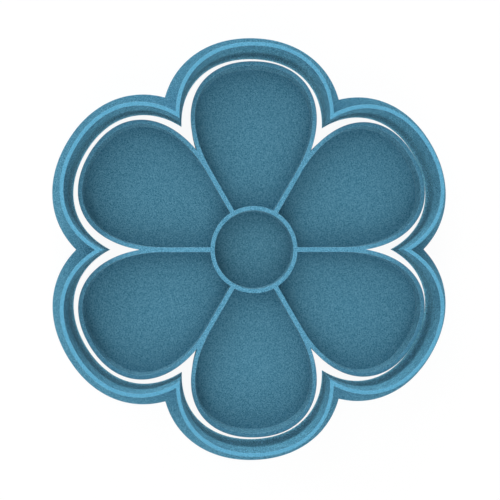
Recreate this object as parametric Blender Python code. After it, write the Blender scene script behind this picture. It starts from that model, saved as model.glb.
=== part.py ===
"""Flower cookie cutter with the stamp that prints the petals, in metres, +Z up.

Two printed pieces lie on one surface: a thin cutting wall on a flat flange, cutting edge up,
and a flower plate with raised ribs that drops through the wall with a gap all round.
Every outline is the same petal curve, offset outwards by a rib, a gap, a wall or a flange.
"""

import math

import bmesh
import bpy
from mathutils import Matrix, Vector

# The petal recess, drawn as one half from its tip to the spoke beside it
PETALS = 6
PETAL_TIP = 0.0379  # from the flower's centre to the far end of a recess
TIP_HANDLE = 0.0115  # how far the round end stays broad
SPOKE_RUN = 0.0185  # from the centre to where a recess edge leaves its spoke
SIDE_HANDLE = 0.0137  # how far that edge still follows the spoke
EDGE_STEPS = 26  # facets along half a petal

# Raised lines of the stamp
RIB_WIDTH = 0.0009
SPOKE_WIDTH = 0.0010  # less than two ribs, because a spoke is where two ribs merge
RING_RADIUS = 0.0090  # outside of the centre ring
RING_FACETS = 96

# Heights of the stamp
STAMP_HEIGHT = 0.0064
FLOOR_THICKNESS = 0.0030

# The cutter round it
STAMP_CLEARANCE = 0.0021
WALL_THICKNESS = 0.0008
CUTTER_HEIGHT = 0.0100
FLANGE_WIDTH = 0.0033
FLANGE_THICKNESS = 0.0016

# How far a cutter solid stands out of the face that it opens
CUT_OVERRUN = 0.0010
WELD_DISTANCE = 0.000001

# Offsets of the outlines, measured outwards from the recess edge
STAMP_EDGE = RIB_WIDTH
WALL_INSIDE = STAMP_EDGE + STAMP_CLEARANCE
WALL_OUTSIDE = WALL_INSIDE + WALL_THICKNESS
FLANGE_EDGE = WALL_OUTSIDE + FLANGE_WIDTH

HALF_PETAL_ANGLE = math.pi / PETALS
FIRST_PETAL_ANGLE = math.pi / 2
SHARP_ANGLE = math.radians(30)


def clear_scene():
    for obj in list(bpy.data.objects):
        bpy.data.objects.remove(obj, do_unlink=True)


def make_collection(name):
    collection = bpy.data.collections.new(name)
    bpy.context.scene.collection.children.link(collection)
    return collection


def make_material(name, colour, roughness, metallic):
    material = bpy.data.materials.new(name)
    material.use_nodes = True
    shader = material.node_tree.nodes["Principled BSDF"]
    shader.inputs["Base Color"].default_value = (*colour, 1.0)
    shader.inputs["Roughness"].default_value = roughness
    shader.inputs["Metallic"].default_value = metallic
    return material


def spoke_line_point(along):
    """A point on the recess edge beside the spoke, this far from the centre along it."""
    spoke = Vector((math.cos(HALF_PETAL_ANGLE), math.sin(HALF_PETAL_ANGLE)))
    towards_petal = Vector((spoke.y, -spoke.x))
    return spoke * along + towards_petal * (SPOKE_WIDTH / 2)


def edge_point(t, offset):
    """The recess edge at t, from the tip (0) to the spoke (1), moved outwards by the offset."""
    tip = Vector((PETAL_TIP, 0))
    tip_handle = tip + Vector((0, TIP_HANDLE))
    side_handle = spoke_line_point(SPOKE_RUN + SIDE_HANDLE)
    side = spoke_line_point(SPOKE_RUN)
    s = 1 - t
    point = s**3 * tip + 3 * s * s * t * tip_handle + 3 * s * t * t * side_handle + t**3 * side
    along = s * s * (tip_handle - tip) + 2 * s * t * (side_handle - tip_handle)
    along += t * t * (side - side_handle)
    along.normalize()
    return point + Vector((along.y, -along.x)) * offset


def notch_parameter(offset):
    """The t at which an offset edge meets its mirror image on the line between two petals."""
    low, high = 0.0, 1.0
    for _ in range(40):
        middle = (low + high) / 2
        point = edge_point(middle, offset)
        if math.atan2(point.y, point.x) < HALF_PETAL_ANGLE:
            low = middle
        else:
            high = middle
    return high


def whole_petal(half):
    """Points from one side of the petal over its tip to the other, from those of one half."""
    mirrored = [Vector((p.x, -p.y)) for p in reversed(half)]
    return mirrored + half[1:]


def flower_outline(offset):
    """The closed outline of all the petals, with a sharp notch between neighbours."""
    end = notch_parameter(offset)
    petal = whole_petal([edge_point(end * i / EDGE_STEPS, offset) for i in range(EDGE_STEPS + 1)])
    points = []
    for k in range(PETALS):
        turn = Matrix.Rotation(FIRST_PETAL_ANGLE + 2 * HALF_PETAL_ANGLE * k, 2)
        points += [turn @ p for p in petal[:-1]]
    return points


def recess_outline():
    """One drop-shaped recess on the +X axis: round tip, straight sides, an arc round the ring."""
    corner_angle = HALF_PETAL_ANGLE - math.asin(SPOKE_WIDTH / 2 / RING_RADIUS)
    corner = RING_RADIUS * Vector((math.cos(corner_angle), math.sin(corner_angle)))
    half = [edge_point(i / EDGE_STEPS, 0) for i in range(EDGE_STEPS + 1)] + [corner]
    steps = round(RING_FACETS / PETALS)
    arc = []
    for i in range(1, steps):
        angle = corner_angle * (1 - 2 * i / steps)
        arc.append(RING_RADIUS * Vector((math.cos(angle), math.sin(angle))))
    return whole_petal(half) + arc


def outline_solid(name, outlines, bottom, top):
    """A flat plate from closed outlines, the inner ones being holes, as a mesh object."""
    curve = bpy.data.curves.new(name + "_outline", "CURVE")
    curve.dimensions = "2D"
    curve.fill_mode = "BOTH"
    curve.extrude = (top - bottom) / 2
    for points in outlines:
        spline = curve.splines.new("POLY")
        spline.points.add(len(points) - 1)
        for spline_point, p in zip(spline.points, points):
            spline_point.co = (p.x, p.y, 0, 1)
        spline.use_cyclic_u = True
    guide = bpy.data.objects.new(name + "_outline", curve)
    bpy.context.scene.collection.objects.link(guide)
    guide.location.z = (top + bottom) / 2
    bpy.context.view_layer.update()
    graph = bpy.context.evaluated_depsgraph_get()
    mesh = bpy.data.meshes.new_from_object(guide.evaluated_get(graph))
    mesh.name = name
    mesh.transform(guide.matrix_world)
    bpy.data.objects.remove(guide, do_unlink=True)
    bpy.data.curves.remove(curve)
    weld(mesh)
    return bpy.data.objects.new(name, mesh)


def weld(mesh):
    work = bmesh.new()
    work.from_mesh(mesh)
    bmesh.ops.remove_doubles(work, verts=work.verts, dist=WELD_DISTANCE)
    bmesh.ops.recalc_face_normals(work, faces=work.faces)
    work.to_mesh(mesh)
    work.free()


def cylinder_solid(name, radius, bottom, top):
    mesh = bpy.data.meshes.new(name)
    work = bmesh.new()
    bmesh.ops.create_cone(
        work, cap_ends=True, segments=RING_FACETS, radius1=radius, radius2=radius, depth=top - bottom
    )
    work.to_mesh(mesh)
    work.free()
    solid = bpy.data.objects.new(name, mesh)
    solid.location.z = (top + bottom) / 2
    return solid


def combine(target, other, operation):
    """Joins or cuts the target with another solid, which stays behind as a hidden helper."""
    modifier = target.modifiers.new(other.name, "BOOLEAN")
    modifier.operation = operation
    modifier.object = other
    modifier.solver = "EXACT"
    other.hide_render = True
    other.display_type = "WIRE"


def finish(piece, collection, material):
    collection.objects.link(piece)
    piece.data.materials.append(material)
    piece.data.shade_smooth()
    piece.data.set_sharp_from_angle(angle=SHARP_ANGLE)


def make_cutter_ring(parts, cutters, material):
    """The cutting wall, from the surface to its edge, with the flange round its foot."""
    wall = [flower_outline(WALL_OUTSIDE), flower_outline(WALL_INSIDE)]
    ring = outline_solid("cutter_ring", wall, 0, CUTTER_HEIGHT)
    inside_wall = WALL_OUTSIDE - WALL_THICKNESS / 2
    foot = [flower_outline(FLANGE_EDGE), flower_outline(inside_wall)]
    flange = outline_solid("flange", foot, 0, FLANGE_THICKNESS)
    cutters.objects.link(flange)
    finish(ring, parts, material)
    combine(ring, flange, "UNION")
    return ring


def make_imprint_stamp(parts, cutters, material):
    """A flower plate with a recess in each petal and one in the centre, which leave the ribs."""
    stamp = outline_solid("imprint_stamp", [flower_outline(STAMP_EDGE)], 0, STAMP_HEIGHT)
    finish(stamp, parts, material)
    top = STAMP_HEIGHT + CUT_OVERRUN
    drop = outline_solid("petal_recess", [recess_outline()], FLOOR_THICKNESS, top)
    for k in range(PETALS):
        recess = drop if k == 0 else bpy.data.objects.new(f"petal_recess_{k + 1}", drop.data)
        recess.rotation_euler.z = FIRST_PETAL_ANGLE + 2 * HALF_PETAL_ANGLE * k
        cutters.objects.link(recess)
        combine(stamp, recess, "DIFFERENCE")
    centre = cylinder_solid("centre_recess", RING_RADIUS - RIB_WIDTH, FLOOR_THICKNESS, top)
    cutters.objects.link(centre)
    combine(stamp, centre, "DIFFERENCE")
    return stamp


def main():
    clear_scene()
    parts = make_collection("cookie_cutter")
    cutters = make_collection("cutters")
    blue = make_material("blue_print", (0.125, 0.407, 0.617), 0.55, 0.0)
    teal = make_material("teal_print", (0.105, 0.330, 0.480), 0.60, 0.0)
    make_cutter_ring(parts, cutters, blue)
    make_imprint_stamp(parts, cutters, teal)


main()
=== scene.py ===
# A flower cookie cutter with its petal stamp: two blue prints lying on a white table
import math

import bmesh
import bpy
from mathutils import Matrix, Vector


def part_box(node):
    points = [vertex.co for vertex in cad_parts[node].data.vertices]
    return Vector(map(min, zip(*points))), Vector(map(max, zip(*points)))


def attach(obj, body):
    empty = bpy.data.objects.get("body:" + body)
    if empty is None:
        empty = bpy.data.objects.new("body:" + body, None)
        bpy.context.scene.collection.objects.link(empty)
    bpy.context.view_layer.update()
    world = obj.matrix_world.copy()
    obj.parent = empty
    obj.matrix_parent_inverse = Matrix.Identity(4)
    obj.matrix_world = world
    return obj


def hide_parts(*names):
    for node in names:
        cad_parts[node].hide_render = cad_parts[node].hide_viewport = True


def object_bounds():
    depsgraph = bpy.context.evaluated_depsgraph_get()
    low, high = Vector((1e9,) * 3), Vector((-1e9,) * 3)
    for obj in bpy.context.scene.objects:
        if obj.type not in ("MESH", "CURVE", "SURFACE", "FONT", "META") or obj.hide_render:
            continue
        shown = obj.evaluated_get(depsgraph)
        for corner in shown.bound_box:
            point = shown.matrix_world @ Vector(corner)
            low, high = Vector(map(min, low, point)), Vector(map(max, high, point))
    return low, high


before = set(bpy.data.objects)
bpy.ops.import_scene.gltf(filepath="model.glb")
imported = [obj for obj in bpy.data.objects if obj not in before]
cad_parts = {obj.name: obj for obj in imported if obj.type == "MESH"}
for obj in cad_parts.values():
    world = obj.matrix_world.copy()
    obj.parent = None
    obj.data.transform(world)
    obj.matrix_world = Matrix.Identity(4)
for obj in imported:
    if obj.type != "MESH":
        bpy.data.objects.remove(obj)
cadLow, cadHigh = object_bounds()
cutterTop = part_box("cutter_ring")[1].z
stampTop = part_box("imprint_stamp")[1].z
print("frame loaded")

mm = 0.001

# The petal line that both prints follow: a cubic from a recess tip to the spoke beside it
petal = {
    "count": 6,
    "firstAngle": math.pi / 2,  # one petal points along +Y
    "tip": 37.9 * mm,  # centre of the flower to the far end of a recess
    "tipHandle": 11.5 * mm,
    "spokeRun": 18.5 * mm,  # where the recess edge leaves the spoke
    "sideHandle": 13.7 * mm,
    "spokeWidth": 1.0 * mm,
    "steps": 44,  # facets along half a petal
    "weld": 0.002 * mm,
}


def sectorAngle():
    return math.pi / petal["count"]


def atAngle(angle, reach):
    return Vector((math.cos(angle), math.sin(angle))) * reach


def onSpoke(along):
    return atAngle(sectorAngle(), along)


def besideSpoke(along):
    spoke = onSpoke(1)
    return spoke * along + Vector((spoke.y, -spoke.x)) * petal["spokeWidth"] / 2


def edgePoint(t, offset):
    # t runs from the tip (0) to the spoke (1), and the offset moves the point outwards
    a = Vector((petal["tip"], 0))
    b = a + Vector((0, petal["tipHandle"]))
    c = besideSpoke(petal["spokeRun"] + petal["sideHandle"])
    d = besideSpoke(petal["spokeRun"])
    ab, bc, cd = a.lerp(b, t), b.lerp(c, t), c.lerp(d, t)
    near, far = ab.lerp(bc, t), bc.lerp(cd, t)
    heading = (far - near).normalized()
    return near.lerp(far, t) + Vector((heading.y, -heading.x)) * offset


def notchAt(offset):
    # the t where the offset edge reaches the line between two petals
    low, high = 0.0, 1.0
    for _ in range(40):  # halves the range each time
        middle = (low + high) / 2
        p = edgePoint(middle, offset)
        if math.atan2(p.y, p.x) < sectorAngle():
            low = middle
        else:
            high = middle
    return high


def halfOutline(offset):
    end = notchAt(offset)
    half = [edgePoint(end * i / petal["steps"], offset) for i in range(petal["steps"] + 1)]
    half[-1] = onSpoke(half[-1].length)
    return half


def bothHalves(half):
    return [Vector((p.x, -p.y)) for p in reversed(half)] + half[1:]


def addRow(work, points, z):
    return [work.verts.new((p.x, p.y, z)) for p in points]


def closed(row):
    return row + row[:1]


def faceLayer(work, name):
    layers = work.faces.layers.float
    return layers.get(name) or layers.new(name)


def bridgeRows(work, first, second, gapSide=0.0, speckles=0.0):
    # gapSide marks the wall that looks into the gap, and speckles says how grainy a wall is
    gapLayer, speckleLayer = faceLayer(work, "gapSide"), faceLayer(work, "speckles")
    for corners in zip(first, first[1:], second[1:], second):
        face = work.faces.new(corners)
        face[gapLayer] = gapSide
        face[speckleLayer] = speckles


def meshFrom(work, name):
    mesh = bpy.data.meshes.new(name)
    work.to_mesh(mesh)
    work.free()
    piece = bpy.data.objects.new(name, mesh)
    bpy.context.scene.collection.objects.link(piece)
    return piece


# The cutter: a profile of offsets and heights, carried along one petal
cutter = {
    "inside": 3.0 * mm,  # recess edge to the inside of the wall: a rib and the gap
    "wall": 0.8 * mm,
    "flange": 3.29 * mm,
    "flangeThick": 1.6 * mm,
    "edgeRound": 0.09 * mm,
    "roundSteps": 2,
    # faces that look up go from the low blue, a painted shade, to the high blue between these
    # heights
    "changeAt": (4.6 * mm, 5.4 * mm),
    "highBlue": (0.110, 0.396, 0.596),  # top of the wall
    "lowShadeBlue": (0.096, 0.302, 0.424),  # flange, darker than the wall top as painted shade
    # standing faces, darker than the wall top as painted shade
    "sideShadeBlue": (0.107, 0.345, 0.490),
    "highGrain": 0.7,
    "lowGrain": 1.4,
    "sideGrain": 0.3,
    "gapGrain": 1.7,  # upright grain on the wall that looks into the gap
}


def cutterPetal():
    inner = cutter["inside"]
    outer = inner + cutter["wall"]
    rim = outer + cutter["flange"]
    top, foot = cutterTop, cutter["flangeThick"]
    profile = [(inner, 0), (rim, 0), (rim, foot), (outer, foot), (outer, top), (inner, top)]
    work = bmesh.new()
    rows = [addRow(work, bothHalves(halfOutline(offset)), z) for offset, z in profile]
    for first, second in zip(rows, rows[1:]):
        bridgeRows(work, first, second)
    bridgeRows(work, rows[-1], rows[0], gapSide=1.0, speckles=cutter["gapGrain"])
    return meshFrom(work, "cutterPetal")


# The stamp: a plate whose ribs stand round a drop in each petal and a ring in the middle
stamp = {
    "rib": 0.9 * mm,
    "ringRadius": 9.0 * mm,  # outside of the centre ring
    "floor": 3.0 * mm,
    "recessMiddle": 24 * mm,  # from the flower's centre to the middle of a recess
    "sideSteps": 8,
    "spokeSteps": 10,
    "arcSteps": 16,
    "edgeRound": 0.09 * mm,
    "roundSteps": 2,
    # faces that look up go from the low blue, a painted shade, to the high blue between these
    # heights
    "changeAt": (4.6 * mm, 5.4 * mm),
    "highBlue": (0.094, 0.328, 0.490),  # rib tops round the middle, darker than the cutter's wall top as painted shade
    "tipShadeBlue": (0.069, 0.247, 0.368),  # and out at the petal tips, darker as painted shade from the cutter's wall
    "tipShadeFade": (19 * mm, 34.8 * mm),  # where the rib tops change over to that painted shade
    "lowShadeBlue": (0.067, 0.222, 0.321),  # recess floors, darker than the rib tops as painted shade
    "centreShadeBlue": (0.063, 0.204, 0.291),  # floor inside the ring, darker still as painted shade
    "centreFade": (9 * mm, 8 * mm),  # under the ring, where the floors change over to that painted shade
    # painted shade: share of those two blues along the ribs, darker, and in the middle of a recess,
    # lighter
    "floorShadeTones": (0.96, 1.10),
    # standing faces, darker than the rib tops as painted shade
    "sideShadeBlue": (0.080, 0.249, 0.346),
    "highGrain": 1.3,
    "lowGrain": 0.82,
    "sideGrain": 0.35,
    "recessGrain": 1.6,  # upright grain on the walls of the recesses
}


def ribEdges():
    # pairs of points across a rib: on the recess edge, and on the far side or on the spoke's middle
    rib, radius = stamp["rib"], stamp["ringRadius"]
    notch = notchAt(rib)
    pairs = []
    # round the petal as far as the notch
    for i in range(petal["steps"] + 1):
        t = notch * i / petal["steps"]
        pairs.append((edgePoint(t, 0), edgePoint(t, rib)))
    pairs[-1] = (pairs[-1][0], onSpoke(pairs[-1][1].length))
    # where two ribs run together into a spoke
    for i in range(1, stamp["sideSteps"] + 1):
        p = edgePoint(notch + (1 - notch) * i / stamp["sideSteps"], 0)
        pairs.append((p, onSpoke(p.dot(onSpoke(1)))))
    # along the spoke to the corner where it meets the ring, and then round the ring
    cornerAngle = sectorAngle() - math.asin(petal["spokeWidth"] / 2 / radius)
    start, end = petal["spokeRun"], atAngle(cornerAngle, radius).dot(onSpoke(1))
    for i in range(1, stamp["spokeSteps"]):
        along = start + (end - start) * i / stamp["spokeSteps"]
        pairs.append((besideSpoke(along), onSpoke(along)))
    for i in range(stamp["arcSteps"] + 1):
        left = 1 - i / stamp["arcSteps"]
        onRing = atAngle(cornerAngle * left, radius)
        pairs.append((onRing, atAngle(sectorAngle() * left, radius - rib)))
    return pairs


def fanFloor(work, edge, middle):
    # the floor knows how near its middle it is, for the painted shade that darkens it towards the
    # ribs
    hub = work.verts.new((middle, 0, stamp["floor"]))
    hub[work.verts.layers.float["middle"]] = 1.0
    for a, b in zip(edge, edge[1:]):
        work.faces.new((a, b, hub))


def stampPetal():
    pairs = ribEdges()
    top, floor = stampTop, stamp["floor"]
    recess = bothHalves([p for p, q in pairs])[:-1]
    around = bothHalves([q for p, q in pairs])[:-1]
    work = bmesh.new()
    work.verts.layers.float.new("middle")
    outerTop = addRow(work, around, top)
    recessTop = addRow(work, recess, top)
    recessFloor = addRow(work, recess, floor)
    grain = stamp["recessGrain"]
    bridgeRows(work, closed(outerTop), closed(recessTop))
    bridgeRows(work, closed(recessTop), closed(recessFloor), speckles=grain)
    fanFloor(work, closed(recessFloor), stamp["recessMiddle"])
    # the outer wall stands under the part of the loop that follows the petal
    middle = len(pairs) - 1
    wallTop = outerTop[middle - petal["steps"] : middle + petal["steps"] + 1]
    wallFoot = [work.verts.new((v.co.x, v.co.y, 0)) for v in wallTop]
    bridgeRows(work, wallFoot, wallTop)
    back = work.verts.new((0, 0, 0))
    work.faces.new([back] + wallFoot[::-1])
    # a sixth of the round recess in the middle
    ringTop = outerTop[: stamp["arcSteps"] + 1][::-1] + outerTop[-stamp["arcSteps"] :][::-1]
    ringFloor = [work.verts.new((v.co.x, v.co.y, floor)) for v in ringTop]
    bridgeRows(work, ringTop, ringFloor, speckles=grain)
    fanFloor(work, ringFloor, 0)
    return meshFrom(work, "stampPetal")


def petalsTree():
    tree = bpy.data.node_groups.new("petalsRoundCentre", "GeometryNodeTree")
    newSocket = tree.interface.new_socket
    newSocket("Petal", in_out="INPUT", socket_type="NodeSocketGeometry")
    newSocket("Count", in_out="INPUT", socket_type="NodeSocketInt")
    newSocket("First Angle", in_out="INPUT", socket_type="NodeSocketFloat")
    newSocket("Weld", in_out="INPUT", socket_type="NodeSocketFloat")
    newSocket("Plastic", in_out="INPUT", socket_type="NodeSocketMaterial")
    newSocket("Flower", in_out="OUTPUT", socket_type="NodeSocketGeometry")
    nodes, link = tree.nodes, tree.links.new
    given = nodes.new("NodeGroupInput")
    centres = nodes.new("GeometryNodeMeshLine")  # one point for each petal, all in the middle
    centres.inputs["Offset"].default_value = (0, 0, 0)
    link(given.outputs["Count"], centres.inputs["Count"])
    whichPetal = nodes.new("GeometryNodeInputIndex")
    fullTurn = nodes.new("ShaderNodeMath")
    fullTurn.operation = "DIVIDE"
    fullTurn.inputs[0].default_value = 2 * math.pi
    link(given.outputs["Count"], fullTurn.inputs[1])
    turn = nodes.new("ShaderNodeMath")
    turn.operation = "MULTIPLY_ADD"
    link(whichPetal.outputs[0], turn.inputs[0])
    link(fullTurn.outputs[0], turn.inputs[1])
    link(given.outputs["First Angle"], turn.inputs[2])
    aboutZ = nodes.new("ShaderNodeCombineXYZ")
    link(turn.outputs[0], aboutZ.inputs["Z"])
    rotation = nodes.new("FunctionNodeEulerToRotation")
    link(aboutZ.outputs[0], rotation.inputs[0])
    placed = nodes.new("GeometryNodeInstanceOnPoints")
    link(centres.outputs["Mesh"], placed.inputs["Points"])
    link(given.outputs["Petal"], placed.inputs["Instance"])
    link(rotation.outputs[0], placed.inputs["Rotation"])
    realized = nodes.new("GeometryNodeRealizeInstances")
    link(placed.outputs["Instances"], realized.inputs["Geometry"])
    welded = nodes.new("GeometryNodeMergeByDistance")
    link(realized.outputs["Geometry"], welded.inputs["Geometry"])
    link(given.outputs["Weld"], welded.inputs["Distance"])
    smooth = nodes.new("GeometryNodeSetShadeSmooth")
    link(welded.outputs["Geometry"], smooth.inputs["Geometry"])
    finished = nodes.new("GeometryNodeSetMaterial")
    link(smooth.outputs["Geometry"], finished.inputs["Geometry"])
    link(given.outputs["Plastic"], finished.inputs["Material"])
    result = nodes.new("NodeGroupOutput")
    link(finished.outputs["Geometry"], result.inputs["Flower"])
    return tree


def repeatPetal(onePetal, tree, plastic, name):
    modifier = onePetal.modifiers.new("petals", "NODES")
    modifier.node_group = tree
    values = {
        "Count": petal["count"],
        "First Angle": petal["firstAngle"],
        "Weld": petal["weld"],
        "Plastic": plastic,
    }
    for item in tree.interface.items_tree:
        if item.in_out == "INPUT" and item.name in values:
            modifier[item.identifier] = values[item.name]
    bpy.context.view_layer.update()
    graph = bpy.context.evaluated_depsgraph_get()
    mesh = bpy.data.meshes.new_from_object(onePetal.evaluated_get(graph))
    mesh.name = name
    bpy.data.objects.remove(onePetal, do_unlink=True)
    piece = bpy.data.objects.new(name, mesh)
    bpy.context.scene.collection.objects.link(piece)
    return piece


def roundEdges(piece, width, steps):
    bevel = piece.modifiers.new("softEdges", "BEVEL")
    bevel.width = width
    bevel.segments = steps
    bevel.limit_method = "ANGLE"
    bevel.angle_limit = math.radians(32)
    bevel.harden_normals = True
    bevel.use_clamp_overlap = True


def newMaterial(name):
    material = bpy.data.materials.new(name)
    material.use_nodes = True
    nodes = material.node_tree.nodes
    return material, nodes, material.node_tree.links.new, nodes["Principled BSDF"]


def math2(nodes, link, operation, a, b):
    node = nodes.new("ShaderNodeMath")
    node.operation = operation
    for socket, value in zip(node.inputs, (a, b)):
        if isinstance(value, (int, float)):
            socket.default_value = value
        else:
            link(value, socket)
    return node.outputs[0]


def mixNumbers(nodes, link, share, first, second):
    node = nodes.new("ShaderNodeMix")
    for name, value in (("Factor", share), ("A", first), ("B", second)):
        socket = next(s for s in node.inputs if s.name == name and s.enabled)
        if isinstance(value, (int, float)):
            socket.default_value = value
        else:
            link(value, socket)
    return next(s for s in node.outputs if s.enabled)


def grey(level):
    return level, level, level, 1


def attribute(nodes, name):
    node = nodes.new("ShaderNodeAttribute")
    node.attribute_name = name
    return node.outputs["Fac"]


def fade(nodes, link, value, low, high, smooth=True):
    node = nodes.new("ShaderNodeMapRange")
    node.interpolation_type = "SMOOTHSTEP" if smooth else "LINEAR"
    node.inputs["From Min"].default_value = low
    node.inputs["From Max"].default_value = high
    link(value, node.inputs["Value"])
    return node.outputs["Result"]


def blendColour(nodes, link, share, first, second):
    node = nodes.new("ShaderNodeMix")
    node.data_type = "RGBA"
    for name, value in (("Factor", share), ("A", first), ("B", second)):
        socket = next(s for s in node.inputs if s.name == name and s.enabled)
        if isinstance(value, (int, float)):
            socket.default_value = value
        elif isinstance(value, tuple):
            socket.default_value = (*value, 1)
        else:
            link(value, socket)
    return next(s for s in node.outputs if s.enabled)


# The plastic: one blue filament, smooth on top and grainy where it was left rough; its darker low
# faces, sides and stamp tops are painted shade
plastic = {
    # the wall that looks into the gap: height and colour, painted light and shade, paler at the
    # foot where the table shines in and darker higher up
    "gapBlues": (
        (0 * mm, (0.270, 0.770, 0.930)),
        (1.2 * mm, (0.200, 0.672, 0.890)),
        (2 * mm, (0.178, 0.580, 0.762)),
        (3.5 * mm, (0.159, 0.528, 0.682)),
        (5.5 * mm, (0.095, 0.345, 0.490)),
        (7 * mm, (0.085, 0.308, 0.438)),
        (10 * mm, (0.078, 0.278, 0.402)),
    ),
    # how far a face has to look up or down to count as level: none of it, and all of it
    "facing": (0.3, 0.85),
    "edgePale": 0.12,  # how far worn edges go towards the worn colour
    "wornColour": (0.8, 0.8, 0.8),
    "grain": 0.12 * mm,
    "grainSwing": (6.0, 3.4, 2.9),  # how strongly the grain moves each colour
    "grainDepth": 0.028 * mm,
    # how far the grain of standing faces is drawn out, sideways and upwards
    "upright": (1.0, 1.5),
    "streaks": (12.0, 1.5),  # along the print's layers
    "layer": 0.2 * mm,
    "layerDepth": 0.010 * mm,
    "line": 0.45 * mm,  # printed lines on the side that lay on the bed
    "lineDepth": 0.012 * mm,
    "bedGrain": 0.1,
    # roughness of the high tops, of every other face and of the side that lay on the bed
    "smooth": 0.55,
    "rough": 0.85,
    "bed": 0.40,
    "shine": 0.22,
}


def fineGrain(nodes, link, place, stretch=(1.0, 1.0)):
    # stretch draws the grain out sideways and upwards
    wide, tall = stretch
    mapping = nodes.new("ShaderNodeMapping")
    mapping.inputs["Scale"].default_value = (1 / wide, 1 / wide, 1 / tall)
    # half a grain aside, so that the floors lie between the noise's cells
    mapping.inputs["Location"].default_value = [0.5 * plastic["grain"]] * 3
    link(place, mapping.inputs["Vector"])
    noise = nodes.new("ShaderNodeTexNoise")
    noise.inputs["Scale"].default_value = 1 / plastic["grain"]
    noise.inputs["Detail"].default_value = 1.0
    noise.inputs["Roughness"].default_value = 0.6
    link(mapping.outputs[0], noise.inputs["Vector"])
    return math2(nodes, link, "SUBTRACT", noise.outputs["Fac"], 0.5)


def ripples(nodes, link, place, direction, spacing):
    wave = nodes.new("ShaderNodeTexWave")
    wave.wave_type = "BANDS"
    wave.bands_direction = direction
    wave.inputs["Scale"].default_value = math.pi / 10 / spacing
    link(place, wave.inputs["Vector"])
    return wave.outputs["Fac"]


def bluesByHeight(nodes, link, height, blues):
    tallest = blues[-1][0]
    ramp = nodes.new("ShaderNodeValToRGB")
    link(fade(nodes, link, height, 0, tallest, smooth=False), ramp.inputs["Fac"])
    stops = ramp.color_ramp.elements
    for i, (at, blue) in enumerate(blues):
        stop = stops[i] if i < 2 else stops.new(at / tallest)
        stop.position = at / tallest
        stop.color = (*blue, 1)
    return ramp.outputs["Color"]


def fromCentre(nodes, link, split):
    flat = nodes.new("ShaderNodeCombineXYZ")
    link(split.outputs["X"], flat.inputs["X"])
    link(split.outputs["Y"], flat.inputs["Y"])
    reach = nodes.new("ShaderNodeVectorMath")
    reach.operation = "LENGTH"
    link(flat.outputs[0], reach.inputs[0])
    return reach.outputs["Value"]


def speckled(nodes, link, base, grain):
    swing = nodes.new("ShaderNodeVectorMath")
    swing.operation = "SCALE"
    swing.inputs[0].default_value = plastic["grainSwing"]
    link(grain, swing.inputs["Scale"])
    lighter = nodes.new("ShaderNodeVectorMath")  # the base, more or less by its own share
    lighter.operation = "MULTIPLY_ADD"
    link(base, lighter.inputs[0])
    link(swing.outputs[0], lighter.inputs[1])
    link(base, lighter.inputs[2])
    return lighter.outputs[0]


def topBlues(nodes, link, split, look):
    # the blues of the high and of the low faces that look up; the low ones, the rib tops at the
    # tips and the floors near the ribs are darker as painted shade
    highBlue, lowShadeBlue = look["highBlue"], look["lowShadeBlue"]
    if "tipShadeBlue" in look:
        reach = fromCentre(nodes, link, split)
        isShadedTip = fade(nodes, link, reach, *look["tipShadeFade"])
        highBlue = blendColour(nodes, link, isShadedTip, highBlue, look["tipShadeBlue"])
        inShadedCentre = fade(nodes, link, reach, *look["centreFade"])
        lowShadeBlue = blendColour(nodes, link, inShadedCentre, lowShadeBlue, look["centreShadeBlue"])
        floorShade = mixNumbers(nodes, link, attribute(nodes, "middle"), *look["floorShadeTones"])
        shadedFloor = nodes.new("ShaderNodeVectorMath")
        shadedFloor.operation = "SCALE"
        link(lowShadeBlue, shadedFloor.inputs[0])
        link(floorShade, shadedFloor.inputs["Scale"])
        lowShadeBlue = shadedFloor.outputs[0]
    return highBlue, lowShadeBlue


def printGrain(nodes, link, place, look, isHigh, isBed, isLevel):
    # round on level faces, and on standing ones along the layers, with speckles inside
    streaks = fineGrain(nodes, link, place, plastic["streaks"])
    streaks = math2(nodes, link, "MULTIPLY", streaks, look["sideGrain"])
    upright = fineGrain(nodes, link, place, plastic["upright"])
    upright = math2(nodes, link, "MULTIPLY", upright, attribute(nodes, "speckles"))
    sideGrain = math2(nodes, link, "ADD", streaks, upright)
    topShare = mixNumbers(nodes, link, isHigh, look["lowGrain"], look["highGrain"])
    topShare = mixNumbers(nodes, link, isBed, topShare, plastic["bedGrain"])
    levelGrain = math2(nodes, link, "MULTIPLY", fineGrain(nodes, link, place), topShare)
    return mixNumbers(nodes, link, isLevel, sideGrain, levelGrain)


def relief(nodes, link, place, grain, isBed, isLevel):
    # the print's layers on standing faces, its first lines underneath, and the grain
    layers = ripples(nodes, link, place, "Z", plastic["layer"])
    layerDepth = mixNumbers(nodes, link, isLevel, plastic["layerDepth"], 0.0)
    layers = math2(nodes, link, "MULTIPLY", layers, layerDepth)
    lines = ripples(nodes, link, place, "DIAGONAL", plastic["line"])
    lineDepth = mixNumbers(nodes, link, isBed, 0.0, plastic["lineDepth"])
    lines = math2(nodes, link, "MULTIPLY", lines, lineDepth)
    height = math2(nodes, link, "MULTIPLY", grain, plastic["grainDepth"])
    height = math2(nodes, link, "ADD", height, math2(nodes, link, "ADD", layers, lines))
    bump = nodes.new("ShaderNodeBump")
    bump.inputs["Distance"].default_value = 1.0
    bump.inputs["Strength"].default_value = 0.7
    link(height, bump.inputs["Height"])
    return bump.outputs["Normal"]


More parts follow.
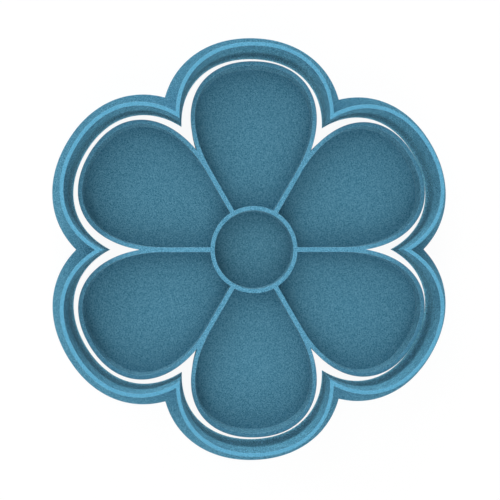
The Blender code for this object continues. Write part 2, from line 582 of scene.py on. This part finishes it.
def printedPlastic(name, look):
    material, nodes, link, shader = newMaterial(name)
    where = nodes.new("ShaderNodeTexCoord")
    place = where.outputs["Object"]
    split = nodes.new("ShaderNodeSeparateXYZ")
    link(place, split.inputs[0])
    facing = nodes.new("ShaderNodeSeparateXYZ")
    link(where.outputs["Normal"], facing.inputs[0])
    low, high = plastic["facing"]
    isUp = fade(nodes, link, facing.outputs["Z"], low, high)
    isBed = fade(nodes, link, facing.outputs["Z"], -low, -high)
    isLevel = math2(nodes, link, "MAXIMUM", isUp, isBed)
    isHigh = fade(nodes, link, split.outputs["Z"], *look["changeAt"])

    # the faces that look up by height, with painted shade on the low ones; the others by whether
    # they stand in the gap, where their blues by height are painted light and shade
    highBlue, lowShadeBlue = topBlues(nodes, link, split, look)
    tops = blendColour(nodes, link, isHigh, lowShadeBlue, highBlue)
    gapBlue = bluesByHeight(nodes, link, split.outputs["Z"], plastic["gapBlues"])
    sides = blendColour(nodes, link, attribute(nodes, "gapSide"), look["sideShadeBlue"], gapBlue)
    base = blendColour(nodes, link, isUp, sides, tops)
    # a rounded edge looks half upwards, where this product is a quarter at most
    onEdge = math2(nodes, link, "MULTIPLY", isUp, math2(nodes, link, "SUBTRACT", 1.0, isUp))
    worn = math2(nodes, link, "MULTIPLY", onEdge, plastic["edgePale"] * 4)
    base = blendColour(nodes, link, worn, base, plastic["wornColour"])
    grain = printGrain(nodes, link, place, look, isHigh, isBed, isLevel)
    link(speckled(nodes, link, base, grain), shader.inputs["Base Color"])

    smoothTop = math2(nodes, link, "MULTIPLY", isUp, isHigh)
    roughness = mixNumbers(nodes, link, smoothTop, plastic["rough"], plastic["smooth"])
    roughness = mixNumbers(nodes, link, isBed, roughness, plastic["bed"])
    link(roughness, shader.inputs["Roughness"])
    shader.inputs["Specular IOR Level"].default_value = plastic["shine"]
    link(relief(nodes, link, place, grain, isBed, isLevel), shader.inputs["Normal"])
    return material


def makeCutter(tree):
    material = printedPlastic("cutterPlastic", cutter)
    piece = repeatPetal(cutterPetal(), tree, material, "cutter_ring_print")
    roundEdges(piece, cutter["edgeRound"], cutter["roundSteps"])
    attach(piece, "cutter")
    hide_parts("cutter_ring")
    print("cutter made")


def makeStamp(tree):
    material = printedPlastic("stampPlastic", stamp)
    piece = repeatPetal(stampPetal(), tree, material, "imprint_stamp_print")
    roundEdges(piece, stamp["edgeRound"], stamp["roundSteps"])
    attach(piece, "stamp")
    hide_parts("imprint_stamp")
    print("stamp made")


# The studio: a white table, a pale room, and soft boxes overhead and beyond the picture's
# upper and lower edges
studio = {
    "table": 2.0,
    "tableDrop": 0.02 * mm,  # keeps the table just under the prints
    # what the camera sees of the table: a white that fades to plain white further out,
    # and a share that takes the shadow
    "tableWhite": 0.94,
    "tableFade": (0.1, 0.5),
    "tableShade": 0.07,
    "tableColour": 0.12,
    "tableGlow": 0.60,  # lit from below, so that the gap between the prints stays pale
    "roomStrength": 0.44,
    # azimuth and elevation in degrees, distance and size in metres, power in watts
    "boxes": (
        ("overheadBox", 90, 90, 0.60, 1.20, 0.80),
        ("upperBox", 135, 30, 0.60, 0.50, 1.29),
        ("grazingBox", 90, 10, 0.60, 0.24, 1.90),
        ("lowerBox", 270, 30, 0.60, 0.50, 1.57),
    ),
}


def seenDirectly(nodes, link):
    ray = nodes.new("ShaderNodeLightPath").outputs
    shine = math2(nodes, link, "MAXIMUM", ray["Is Camera Ray"], ray["Is Glossy Ray"])
    return math2(nodes, link, "MAXIMUM", shine, ray["Is Transmission Ray"])


def makeTable():
    material, nodes, link, shader = newMaterial("whiteTable")
    shader.inputs["Base Color"].default_value = grey(studio["tableColour"])
    shader.inputs["Roughness"].default_value = 0.9
    shader.inputs["Emission Color"].default_value = grey(1)
    shader.inputs["Emission Strength"].default_value = studio["tableGlow"]
    white = nodes.new("ShaderNodeEmission")
    white.inputs["Color"].default_value = grey(1)
    split = nodes.new("ShaderNodeSeparateXYZ")
    link(nodes.new("ShaderNodeTexCoord").outputs["Object"], split.inputs[0])
    isFar = fade(nodes, link, fromCentre(nodes, link, split), *studio["tableFade"])
    link(mixNumbers(nodes, link, isFar, studio["tableWhite"], 1.0), white.inputs["Strength"])
    shade = nodes.new("ShaderNodeBsdfDiffuse")
    shade.inputs["Color"].default_value = grey(studio["tableShade"])
    seen = nodes.new("ShaderNodeAddShader")
    link(white.outputs[0], seen.inputs[0])
    link(shade.outputs[0], seen.inputs[1])
    mix = nodes.new("ShaderNodeMixShader")
    link(seenDirectly(nodes, link), mix.inputs[0])
    link(shader.outputs[0], mix.inputs[1])
    link(seen.outputs[0], mix.inputs[2])
    link(mix.outputs[0], nodes["Material Output"].inputs["Surface"])
    work = bmesh.new()
    bmesh.ops.create_grid(work, x_segments=1, y_segments=1, size=studio["table"])
    table = meshFrom(work, "table")
    table.location.z = cadLow.z - studio["tableDrop"]
    table.data.materials.append(material)


def makeRoom():
    world = bpy.data.worlds.new("paleRoom")
    bpy.context.scene.world = world
    world.use_nodes = True
    nodes, link = world.node_tree.nodes, world.node_tree.links.new
    ambient = nodes["Background"]
    ambient.inputs["Color"].default_value = grey(1)
    ambient.inputs["Strength"].default_value = studio["roomStrength"]
    white = nodes.new("ShaderNodeBackground")
    white.inputs["Color"].default_value = grey(1)
    mix = nodes.new("ShaderNodeMixShader")
    link(seenDirectly(nodes, link), mix.inputs[0])
    link(ambient.outputs[0], mix.inputs[1])
    link(white.outputs[0], mix.inputs[2])
    link(mix.outputs[0], nodes["World Output"].inputs["Surface"])


def makeLights():
    for name, azimuth, elevation, distance, size, power in studio["boxes"]:
        light = bpy.data.lights.new(name, "AREA")
        light.shape = "DISK"
        light.size = size
        light.energy = power
        a, e = math.radians(azimuth), math.radians(elevation)
        towards = Vector((math.cos(a) * math.cos(e), math.sin(a) * math.cos(e), math.sin(e)))
        lamp = bpy.data.objects.new(name, light)
        lamp.location = towards * distance
        lamp.rotation_euler = towards.to_track_quat("Z", "Y").to_euler()
        bpy.context.scene.collection.objects.link(lamp)


# The camera stands almost straight above, a little to the left of the flower
camera = {
    "place": Vector((-9.60, 0.86, 145.23)) * mm,
    "turn": (math.radians(-0.380), math.radians(-3.599), math.radians(-0.037)),
    "lens": 48.62,
    "sensor": 36.0,
}


def makeCamera():
    data = bpy.data.cameras.new("fromAbove")
    data.lens = camera["lens"]
    data.sensor_width = camera["sensor"]
    data.clip_start = 0.01
    eye = bpy.data.objects.new("fromAbove", data)
    eye.location = camera["place"]
    eye.rotation_euler = camera["turn"]
    bpy.context.scene.collection.objects.link(eye)
    bpy.context.scene.camera = eye


def main():
    bpy.context.scene.view_settings.view_transform = "Standard"
    makeCamera()
    tree = petalsTree()
    makeCutter(tree)
    makeStamp(tree)
    makeTable()
    makeRoom()
    makeLights()
    print("studio lit")


main()

bpy.context.view_layer.update()
